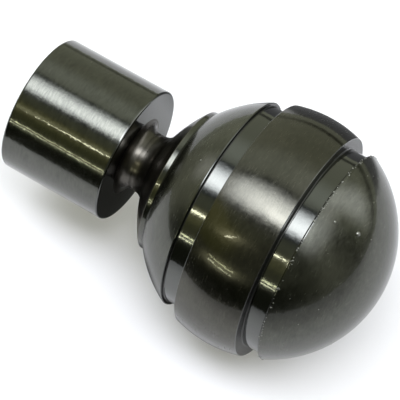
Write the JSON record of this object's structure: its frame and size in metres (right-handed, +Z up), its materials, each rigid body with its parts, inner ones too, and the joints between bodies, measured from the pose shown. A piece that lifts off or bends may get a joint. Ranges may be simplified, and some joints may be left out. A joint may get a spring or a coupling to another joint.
{
  "type": "curtain pole finial",
  "caption": "Turned metal finial for a curtain pole: a cup that slips over the pole's end, a slim neck, a collar and a ball cut with parallel grooves, held by a grub screw.",
  "frame": {"origin": "centre of the cup's mouth, where the pole's end goes in", "axes": "+X along the pole's axis from the mouth towards the ball, +Z up in use, with the grub screw on the underside at -Z"},
  "size_m": [0.0882, 0.056, 0.056],
  "materials": {
    "black_nickel": "black nickel plating under clear lacquer, brushed round the axis on the cup, band and dome, polished in the grooves and on the neck",
    "black_steel": "blackened steel"
  },
  "bodies": {
    "root": {"finial_body": "black_nickel", "grub_screw": "black_steel"}
  },
  "joints": []
}
